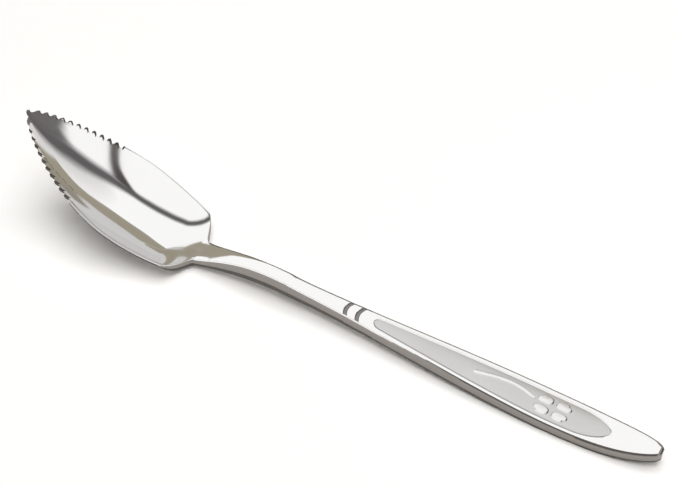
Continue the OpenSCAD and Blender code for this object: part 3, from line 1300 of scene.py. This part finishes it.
@dataclass
class Stamping:
    """The whole polished blank as its zones, from the bowl to the tail."""

    neck_end: float = 0.127
    shank_end: float = 0.395
    handle_end: float = 0.811
    groove_margin: float = 0.1

    # rows to a tooth, to a round end or to the nose
    tooth_steps: int = 14
    front_steps: int = 14
    back_steps: int = 26
    nose_steps: int = 30

    # distances between rows in millimetres
    usual_pitch: float = 0.5
    heel_pitch: float = 0.12
    neck_pitch: float = 0.35
    shank_pitch: float = 0.9
    groove_pitch: float = 0.07
    border_pitch: float = 0.3

    @staticmethod
    def _even(start: float, end: float, pitch: float) -> list[Pair]:
        """Places evenly spaced rows without notches.

        Args:
            start: place of the first row.
            end: place of the last row.
            pitch: distance wanted between rows.

        Returns:
            The rows, ends included.
        """
        count = max(2, round((end - start) / pitch))
        return [(mix(start, end, k / count), 0.0) for k in range(count + 1)]

    @staticmethod
    def _closing(start: float, end: float, count: int) -> list[Pair]:
        """Returns rows without notches that close up towards the end, ends included."""
        return [(mix(start, end, math.sin(math.pi / 2 * k / count)), 0.0) for k in range(count + 1)]

    def _bowl_rows(self) -> list[Pair]:
        """Places the rows of the bowl.

        Returns:
            The rows, which are closer together at the teeth and the heel.
        """
        return (BLANK.tooth_rows(self.tooth_steps)
                + self._even(BLANK.serrated_length, BLANK.shoulder_x, self.usual_pitch)[1:]
                + self._even(BLANK.shoulder_x, BLANK.bowl_length, self.heel_pitch)[1:])

    def _neck_rows(self) -> list[Pair]:
        """Returns the rows of the neck."""
        return self._even(BLANK.bowl_length, BLANK.run_x(self.neck_end), self.neck_pitch)

    def _shank_rows(self) -> list[Pair]:
        """Places the rows of the shank.

        Returns:
            The rows, which are closer together in the grooves.
        """
        start, end = BLANK.run_x(self.neck_end), BLANK.run_x(self.shank_end)
        margin = BLANK.groove_width / 2 + self.groove_margin
        first = BLANK.groove_x - margin + BLANK.groove_lead - BLANK.groove_bow
        last = BLANK.groove_x + (BLANK.groove_count - 1) * BLANK.groove_pitch + margin + BLANK.groove_lead
        return (self._even(start, first, self.shank_pitch) + self._even(first, last, self.groove_pitch)[1:]
                + self._even(last, end, self.usual_pitch)[1:])

    def _handle_rows(self) -> list[Pair]:
        """Places the rows of the handle.

        Returns:
            The rows, which follow the round start of the panel.
        """
        start, end = BLANK.panel_start, BLANK.run_x(self.handle_end)
        length = (BLANK.panel_end - start) * BLANK.panel_front
        turns = [math.pi / 2 * k / self.front_steps for k in range(1, self.front_steps + 1)]
        return (self._even(BLANK.run_x(self.shank_end), start, self.border_pitch)
                + [(start + length * (1 - math.cos(a)), 0.0) for a in turns]
                + self._even(start + length, end, self.usual_pitch)[1:])

    def _tail_rows(self) -> list[Pair]:
        """Returns the rows of the tail, which close up at the panel's end and at the nose."""
        return (self._closing(BLANK.run_x(self.handle_end), BLANK.panel_end, self.back_steps)
                + self._closing(BLANK.panel_end, BLANK.length, self.nose_steps)[1:])

    def build(self, palette: Palette) -> list[bpy.types.Object]:
        """Models every zone.

        Args:
            palette: the finished materials.

        Returns:
            The finished pieces.
        """
        panelled = {"panel": True, "painted_dark_line": True, "rim_steps": 1}
        zones = [
            BowlZone("bowl_shell", ("bowl", "near_serrated_edge", "far_serrated_edge"), self._bowl_rows()),
            Zone("neck_bar", ("neck",), self._neck_rows()),
            Zone("shank_bar", ("shank",), self._shank_rows()),
            Zone("handle_bar", ("handle",), self._handle_rows(), **panelled),
            Zone("tail_bar", ("tail",), self._tail_rows(), **panelled),
        ]
        return [zone.build(palette) for zone in zones]


@dataclass
class SatinFloor:
    """The frosted floor of the sunk panel, as a thin closed plate."""

    side_steps: int = 8
    rows: int = 160
    under_bevel: float = 1.03

    def build(self, palette: Palette) -> bpy.types.Object:
        """Models the floor, whose edge goes a little under the bevel.

        Args:
            palette: the finished materials.

        Returns:
            The finished piece.
        """
        shares = [k / self.side_steps for k in range(-self.side_steps, self.side_steps + 1)]
        points = []
        for k in range(1, self.rows):
            x = mix(BLANK.panel_start, BLANK.panel_end, (1 - math.cos(math.pi * k / self.rows)) / 2)
            half = BLANK.floor_half(x)
            points.append([place(x, s * half * self.under_bevel, BLANK.satin_level(x, s * half))
                           for s in shares])
        piece = Bench.sheet("satin_floor", np.array(points))
        Bench.pick(piece)
        thick = piece.modifiers.new("plate", "SOLIDIFY")
        thick.thickness = BLANK.satin_layer * MM
        thick.offset = -1.0
        bpy.ops.object.modifier_apply(modifier=thick.name)
        piece.data.materials.append(palette.satin)
        Bench.edit(piece, Bench.outward)
        Bench.shade(piece)
        return stand_for(piece, Slot.SATIN, "satin_panel")


@dataclass
class CloverRelief:
    """The four-leaf clover and its stem, coined in relief."""

    centre_share: float = 0.787
    height: float = 0.45
    sink: float = 0.06
    crease: float = 50.0

    # leaves
    leaf_length: float = 4.1
    leaf_width: float = 2.6
    leaf_gap: float = 0.45
    leaf_power: float = 2.7
    notch_depth: float = 0.3
    notch_power: int = 24
    notch_turn: float = 28.0
    around: int = 72
    chamfer: tuple[Pair, ...] = ((0.93, 0.3), (0.82, 0.82))
    dome_steps: int = 8
    dome_share: float = 0.76
    dome_rise: float = 0.9
    # faces of the leaves' foot that take painted shade
    painted_shade_drop: float = -0.1
    painted_shade_turn: float = 0.42

    # stem
    stem_from: float = 0.623
    stem_overlap: float = 0.1
    stem_width: float = 1.3
    stem_taper: float = 0.7
    stem_bow: float = 1.6
    stem_drift: float = 0.2
    bow_power: float = 1.2
    stem_foot: float = 2.0
    front_round: float = 0.06
    back_round: float = 0.03
    end_width: float = 0.1
    end_rise: float = 0.2
    front_rise: float = 0.55
    back_rise: float = 0.85
    crest_share: float = 0.82
    stem_rows: int = 70
    stem_columns: int = 20

    @property
    def centre_x(self) -> float:
        """Place of the clover's middle."""
        return BLANK.run_x(self.centre_share)

    def _leaf_rings(self) -> list[Pair]:
        """Lays out the rings of a leaf: its foot, its chamfers and its dome.

        Returns:
            Size and rise of each ring.
        """
        sides = (*self.chamfer, (self.dome_share, self.dome_rise))
        rings = [(1.0, -self.sink), (1.0, 0.0)] + [(size, rise * self.height) for size, rise in sides]
        for k in range(1, self.dome_steps + 1):
            s = k / self.dome_steps
            rings.append((self.dome_share * (1 - s), self.height * mix(self.dome_rise, 1, s)))
        return rings

    def _leaf(self, along: int, across: int) -> bpy.types.Object:
        """Models one leaf as a domed, notched lobe on the satin floor.

        Args:
            along: 1 for a leaf on the side of the tail, -1 for one on the side of the bowl.
            across: 1 for a leaf on the far side, -1 for one on the near side.

        Returns:
            The leaf.
        """
        rings, power = self._leaf_rings(), self.leaf_power
        half_x, half_y = self.leaf_length / 2, self.leaf_width / 2
        centre_x = self.centre_x + along * (self.leaf_gap / 2 + half_x)
        centre_y = across * (self.leaf_gap / 2 + half_y)
        points = np.zeros((len(rings), self.around + 1, 3))
        for i, (share, rise) in enumerate(rings):
            for k in range(self.around + 1):
                a = 2 * math.pi * k / self.around
                bulge = (abs(math.cos(a)) / half_x) ** power + (abs(math.sin(a)) / half_y) ** power
                tuck = max(0.0, math.cos(a - math.radians(self.notch_turn))) ** self.notch_power
                r = bulge ** (-1 / power) * (1 - self.notch_depth * tuck) * share
                x, y = centre_x + along * r * math.cos(a), centre_y + across * r * math.sin(a)
                points[i, k] = place(x, y, BLANK.satin_level(x, y) + rise)
        return Bench.sheet(f"leaf_{along}_{across}", points)

    def build_leaves(self, palette: Palette) -> bpy.types.Object:
        """Models the four leaves as one piece, with painted shade at the foot of the sides that face the tail
        and the far side.

        Args:
            palette: the finished materials.

        Returns:
            The finished piece.
        """
        leaves = [self._leaf(along, across) for along in (-1, 1) for across in (-1, 1)]
        Bench.pick(leaves[0])
        for leaf in leaves[1:]:
            leaf.select_set(True)
        bpy.ops.object.join()
        piece = leaves[0]
        piece.name = piece.data.name = "clover_leaves"
        Bench.edit(piece, Bench.weld, Bench.close, Bench.outward)
        piece.data.materials.append(palette.relief)
        piece.data.materials.append(palette.foot)
        # painted shade on the foot faces turned to the tail and the far side
        for face in piece.data.polygons:
            turned = face.normal.x + face.normal.y > self.painted_shade_turn
            face.material_index = int(face.normal.z > self.painted_shade_drop and turned)
        Bench.shade(piece, self.crease)
        return stand_for(piece, Slot.SATIN, "clover")

    def _stem_row(self, s: float) -> tuple[float, float, float, float]:
        """Reads the stem at a share of its length.

        Args:
            s: the share, from the shank to the clover.

        Returns:
            Place across of its middle, half width, width of the soft foot and share of the full height.
        """
        bow = self.stem_bow * (math.sin(math.pi * s**self.bow_power) + self.stem_drift * s)
        rounded = (math.sqrt(1 - (1 - clamp01(s / self.front_round)) ** 2)
                   * math.sqrt(1 - (1 - clamp01((1 - s) / self.back_round)) ** 2))
        narrowed = max(self.end_width, rounded)
        half = self.stem_width / 2 * mix(1, self.stem_taper, s) * narrowed
        return bow, half, self.stem_foot * (1 - s) ** 0.5 * narrowed, max(self.end_rise, rounded)

    def _crest(self, share: float) -> float:
        """Reads the section of the stem.

        Args:
            share: share of the way from its near to its far side.

        Returns:
            The height there, from 0 to 1.
        """
        if share < self.crest_share:
            return smooth(share / self.crest_share)
        return math.sqrt(1 - clamp01((share - self.crest_share) / (1 - self.crest_share)) ** 2)

    def build_stem(self, palette: Palette) -> bpy.types.Object:
        """Models the bowed stem, whose near side runs out softly in a satin foot.

        Args:
            palette: the finished materials.

        Returns:
            The finished piece.
        """
        start = BLANK.run_x(self.stem_from)
        end = self.centre_x - self.leaf_gap / 2 - self.leaf_length + self.stem_overlap
        rows, columns = self.stem_rows, self.stem_columns
        points = np.zeros((rows + 1, columns + 4, 3))
        for i in range(rows + 1):
            x = mix(start, end, i / rows)
            bow, half, foot, lowered = self._stem_row(i / rows)
            full = self.height * mix(self.front_rise, self.back_rise, i / rows)
            for j in range(columns + 4):
                column = j % (columns + 3)
                share = clamp01((column - 1) / columns)
                y = mix(bow - half - foot, bow + half, share)
                rise = full * self._crest(share) * lowered
                sink = self.sink if column in (0, columns + 2) else 0.0
                points[i, j] = place(x, y, BLANK.satin_level(x, y) + rise - sink)
        piece = Bench.sheet("clover_stem_ridge", points)
        piece.data.materials.append(palette.relief)
        piece.data.materials.append(palette.satin)
        finishes: list[int] = []
        for i in range(rows):
            _, half, foot, _ = self._stem_row(i / rows)
            soft = foot / (foot + 2 * half)
            finishes += [int((j - 0.5) / columns < soft) for j in range(columns + 2)] + [0]
        piece.data.polygons.foreach_set("material_index", finishes)
        Bench.edit(piece, Bench.weld, Bench.close, Bench.outward)
        Bench.shade(piece, self.crease)
        return stand_for(piece, Slot.SATIN, "clover_stem")


def sky_point(across: float, up: float, distance: float) -> Point:
    """Turns degrees from the zenith, to the right and to the back, into a point on a dome.

    Args:
        across: degrees towards +X.
        up: degrees towards +Y.
        distance: radius of the dome in metres.

    Returns:
        The point.
    """
    away = math.radians(math.hypot(across, up))
    turn = math.atan2(up, across)
    return (distance * math.sin(away) * math.cos(turn), distance * math.sin(away) * math.sin(turn),
            distance * math.cos(away))


@dataclass(frozen=True)
class Flag:
    """A dark card of the light tent, seen by reflections only.

    Its two long edges are smooth lines through points in degrees from the zenith. A second reflection may see
    it in another colour, or be the only one that sees it.
    """

    name: str
    inner: tuple[Pair, ...]
    outer: tuple[Pair, ...]
    color: Color
    softness: float = 0.3
    distance: float = 12.0
    second: Color | None = None
    only_second: bool = False
    rows: int = 60
    columns: int = 8
    end_softness: float = 0.03

    @staticmethod
    def _point(line: tuple[Pair, ...], share: float) -> Pair:
        """Reads a smooth line through points.

        Args:
            line: the points.
            share: share of the way along the line.

        Returns:
            The point there.
        """
        at = share * (len(line) - 1)
        across, up = ([(k, point[axis]) for k, point in enumerate(line)] for axis in (0, 1))
        return curve_at(across, at), curve_at(up, at)

    def _material(self) -> bpy.types.Material:
        """Makes the card's finish, which is clear at its edges.

        Returns:
            The material.
        """
        material = bpy.data.materials.new(self.name)
        material.use_nodes = True
        material.node_tree.nodes.clear()
        kit = NodeKit(material.node_tree)
        parts = kit.add("ShaderNodeSeparateXYZ", Vector=kit.add("ShaderNodeTexCoord").outputs["UV"])
        u, v = (kit.math("MINIMUM", parts.outputs[axis], kit.math("SUBTRACT", 1.0, parts.outputs[axis]))
                for axis in ("X", "Y"))
        cover = kit.math("MULTIPLY", kit.ramp(u, 0.0, self.softness), kit.ramp(v, 0.0, self.end_softness))
        depth = kit.add("ShaderNodeLightPath").outputs["Glossy Depth"]
        if self.only_second:
            cover = kit.math("MULTIPLY", cover, kit.math("COMPARE", depth, 2.0))
        color = kit.mix(kit.math("GREATER_THAN", depth, 1.5), self.color, self.second or self.color)
        dark = kit.add("ShaderNodeEmission", Color=color, Strength=1.0)
        blend = kit.add("ShaderNodeMixShader", Fac=cover)
        kit.feed(blend.inputs[1], kit.add("ShaderNodeBsdfTransparent").outputs[0])
        kit.feed(blend.inputs[2], dark.outputs[0])
        kit.add("ShaderNodeOutputMaterial", Surface=blend.outputs[0])
        return material

    def build(self) -> None:
        """Hangs the card, with its soft edges outside its lines."""
        margin = self.softness / 2 / (1 - self.softness)
        points = np.zeros((self.rows + 1, self.columns + 1, 3))
        for i in range(self.rows + 1):
            a, b = self._point(self.inner, i / self.rows), self._point(self.outer, i / self.rows)
            for j in range(self.columns + 1):
                s = mix(-margin, 1 + margin, j / self.columns)
                points[i, j] = sky_point(mix(a[0], b[0], s), mix(a[1], b[1], s), self.distance)
        card = Bench.sheet(self.name, points)
        card.data.materials.append(self._material())
        card.visible_camera = card.visible_diffuse = card.visible_shadow = False
        card.visible_transmission = card.visible_volume_scatter = False


@dataclass
class Studio:
    """White table, light tent and key light."""

    floor_color: Color = (0.95, 0.935, 0.915)
    world_strength: float = 0.03
    second_bounce: float = 0.66
    key_power: float = 19.8
    floor_glow: float = 0.055
    sky_tint: Color = (1.0, 0.95, 0.89)
    floor_size: float = 40.0
    floor_tint: Color = (1, 0.97, 0.93)
    glow_start: float = 0.3
    glow_end: float = 2.5
    key_place: Point = (0.12, 0.04, 1.22)
    key_aim: Point = (-0.03, 0.0, 0.0)
    key_size: Pair = (1.3, 1.1)
    flags: tuple[Flag, ...] = (
        Flag("tent_seam_front",
             ((-56, -9), (-46, -11), (-37.5, -14), (-20, -18.5), (-4, -16), (7, -11), (16.5, -5.5),
              (24.5, -1), (29.7, 5), (33.6, 13), (35.8, 22), (37.2, 30.5), (38, 38), (37.4, 47),
              (36.6, 55.5), (34, 67)),
             ((-58, -17), (-47, -20), (-35.5, -24), (-19, -28.5), (-3, -26), (8, -21), (18, -15.5),
              (27, -11), (34.5, -7), (37.5, -4), (41, 1.5), (44.5, 7), (47.5, 16), (48, 32), (48, 50),
              (46, 70)),
             (0.115, 0.11, 0.113), 0.34, second=ROOM_COLOR),
        Flag("tent_seam_side",
             ((22, -9), (25, -13.5), (28, -18), (30.4, -22.5), (32, -28), (32.5, -36), (32.2, -44),
              (31, -54), (29, -64)),
             ((34.6, -6), (35.1, -10), (35.8, -15), (36.4, -20), (36.8, -27), (36.8, -36), (36.4, -44),
              (35.4, -54), (34, -64)),
             (0.075, 0.065, 0.062), 0.25),
        Flag("tent_door",
             ((44, 62), (44.3, 46), (44.5, 30), (45, 17), (45.8, 9), (48, 1), (50, -7), (51.2, -16),
              (52, -24), (51, -32), (49, -38), (46, -44)),
             ((62, 66), (67, 46), (70, 28), (74, 14), (76, 5), (77, -2), (78, -10), (77, -19), (75, -29),
              (72, -39), (68, -47), (62, -54)),
             (0.15, 0.142, 0.142), 0.1, second=ROOM_COLOR),
        Flag("room_back",
             ((-56, 0), (-56, 12), (-55.5, 24), (-54, 34), (-51, 43), (-44, 48), (-34, 49), (-24, 47.5),
              (-13, 45), (1, 41.5), (12.8, 44), (19.5, 50), (21.3, 60), (22.5, 66), (26.5, 66.5),
              (29.4, 64.5)),
             ((-88, 0), (-87, 14), (-83, 30), (-78, 41), (-69, 54), (-58, 62), (-49, 70), (-34, 71),
              (-24, 69.5), (-15, 68), (-4, 66), (3, 66.5), (7, 70.5), (9, 79), (4, 90), (6, 97), (16, 96)),
             ROOM_COLOR, 0.02, second=(0.6, 0.595, 0.6)),
        Flag("room_wall",
             ((-49, 69), (-34, 70), (-15, 67), (-4, 65), (4, 66), (7.5, 71), (9, 77)),
             ((-60, 84), (-40, 92), (-20, 98), (-4, 98), (4, 96), (8, 92), (9.5, 86)),
             (0.6, 0.59, 0.6), 0.04, 12.5),
        Flag("tent_shade",
             ((18, 85), (20, 75), (26, 60), (28, 50), (29.5, 40), (31, 25), (33, 15), (34, 5)),
             ((36, 85), (38, 75), (43, 60), (44, 50), (45, 40), (43, 25), (41, 15), (38, 5)),
             (0.68, 0.665, 0.66), 0.5, 13.0),
        Flag("room_again",
             ((-42, 30), (-30, 28), (-24, 32), (-18, 30), (-12, 24), (-7, 19), (0, 16)),
             ((-42, -8), (-33, -6), (-29.5, 4), (-24.5, 11), (-17, 12.5), (-10, 12.5), (0, 12.5)),
             ROOM_COLOR, 0.04, only_second=True),
        Flag("room_far",
             ((30, 26), (36, 25), (42, 25), (50, 26)),
             ((30, 46), (36, 46), (42, 46), (50, 46)),
             (0.3, 0.275, 0.24), 0.04, only_second=True),
    )

    def _floor(self) -> None:
        """Lays the white table, which glows in the camera's view away from the spoon."""
        Bench.rest()
        bpy.ops.mesh.primitive_plane_add(size=self.floor_size)
        floor = bpy.context.object
        floor.name = "table"
        material = bpy.data.materials.new("white table")
        material.use_nodes = True
        kit = NodeKit(material.node_tree)
        shader = kit.tree.nodes["Principled BSDF"]
        shader.inputs["Base Color"].default_value = (*self.floor_color, 1)
        shader.inputs["Roughness"].default_value = 1.0
        shader.inputs["Specular IOR Level"].default_value = 0.0
        seen = kit.add("ShaderNodeLightPath").outputs["Is Camera Ray"]
        away = kit.add("ShaderNodeVectorMath", Vector=kit.add("ShaderNodeTexCoord").outputs["Object"])
        away.operation = "LENGTH"
        far = kit.ramp(away.outputs["Value"], self.glow_start, self.glow_end, self.floor_glow, 1.0)
        strength = kit.math("MULTIPLY", seen, far)
        glow = kit.add("ShaderNodeEmission", Color=(*self.floor_tint, 1), Strength=strength)
        both = kit.add("ShaderNodeAddShader")
        kit.feed(both.inputs[0], shader.outputs[0])
        kit.feed(both.inputs[1], glow.outputs[0])
        kit.feed(kit.tree.nodes["Material Output"].inputs["Surface"], both.outputs[0])
        floor.data.materials.append(material)

    def _world(self) -> None:
        """Makes the surroundings, white to the camera and to reflections."""
        world = bpy.data.worlds.new("tent")
        bpy.context.scene.world = world
        world.use_nodes = True
        world.node_tree.nodes.clear()
        kit = NodeKit(world.node_tree)
        path = kit.add("ShaderNodeLightPath").outputs
        seen = kit.math("MAXIMUM", path["Is Camera Ray"], path["Is Glossy Ray"])
        seen = kit.math("MAXIMUM", seen, path["Is Transmission Ray"])
        seen = kit.math("MULTIPLY", seen, kit.math("LESS_THAN", path["Diffuse Depth"], 0.5))
        once = kit.ramp(seen, 0.0, 1.0, self.world_strength, 1.0)
        twice = kit.math("GREATER_THAN", path["Glossy Depth"], 1.5)
        strength = kit.math("MULTIPLY", once, kit.ramp(twice, 0.0, 1.0, 1.0, self.second_bounce))
        color = kit.mix(seen, self.sky_tint, (1, 1, 1))
        back = kit.add("ShaderNodeBackground", Color=color, Strength=strength)
        kit.add("ShaderNodeOutputWorld", Surface=back.outputs[0])

    def _key(self) -> None:
        """Hangs the soft key light high above the tail."""
        Bench.rest()
        bpy.ops.object.light_add(type="AREA", location=self.key_place)
        key = bpy.context.object
        key.name = "key"
        key.data.energy = self.key_power
        key.data.shape = "RECTANGLE"
        key.data.size, key.data.size_y = self.key_size
        aim = Vector(self.key_aim) - key.location
        key.rotation_euler = aim.to_track_quat("-Z", "Y").to_euler()
        key.visible_glossy = False
        key.visible_camera = False

    def build(self) -> None:
        """Sets up the studio."""
        self._floor()
        self._world()
        self._key()
        for flag in self.flags:
            flag.build()


@dataclass(frozen=True)
class PhotoCamera:
    """Camera at the photograph's viewing angle."""

    location: Point = (0.11877, -0.17580, 0.25167)
    yaw: float = 32.85
    down: float = 46.87
    roll: float = -2.41
    focal_pixels: float = 1350.0
    frame_pixels: float = 679.0
    sensor_width: float = 36.0
    clip: Pair = (0.01, 50.0)

    def build(self) -> None:
        """Sets up the camera."""
        Bench.rest()
        bpy.ops.object.camera_add()
        camera = bpy.context.object
        camera.data.sensor_fit = "HORIZONTAL"
        camera.data.sensor_width = self.sensor_width
        camera.data.lens = self.focal_pixels / self.frame_pixels * camera.data.sensor_width
        camera.data.clip_start, camera.data.clip_end = self.clip
        turn = (Matrix.Rotation(math.radians(self.yaw), 4, "Z")
                @ Matrix.Rotation(math.radians(90 - self.down), 4, "X")
                @ Matrix.Rotation(math.radians(self.roll), 4, "Z"))
        camera.matrix_world = Matrix.Translation(self.location) @ turn
        bpy.context.scene.camera = camera


def main() -> None:
    """Builds the spoon and its studio, and reports each piece."""
    logging.basicConfig(level=logging.INFO, format="%(name)s: %(message)s")
    bpy.context.scene.view_settings.view_transform = "Standard"
    PhotoCamera().build()
    palette = Palette.mixed()
    pieces = Stamping().build(palette)
    pieces.append(SatinFloor().build(palette))
    relief = CloverRelief()
    pieces.append(relief.build_leaves(palette))
    pieces.append(relief.build_stem(palette))
    Studio().build()
    for piece in pieces:
        LOG.info("%s: %d faces", piece.name, len(piece.data.polygons))


if __name__ == "__main__":
    main()
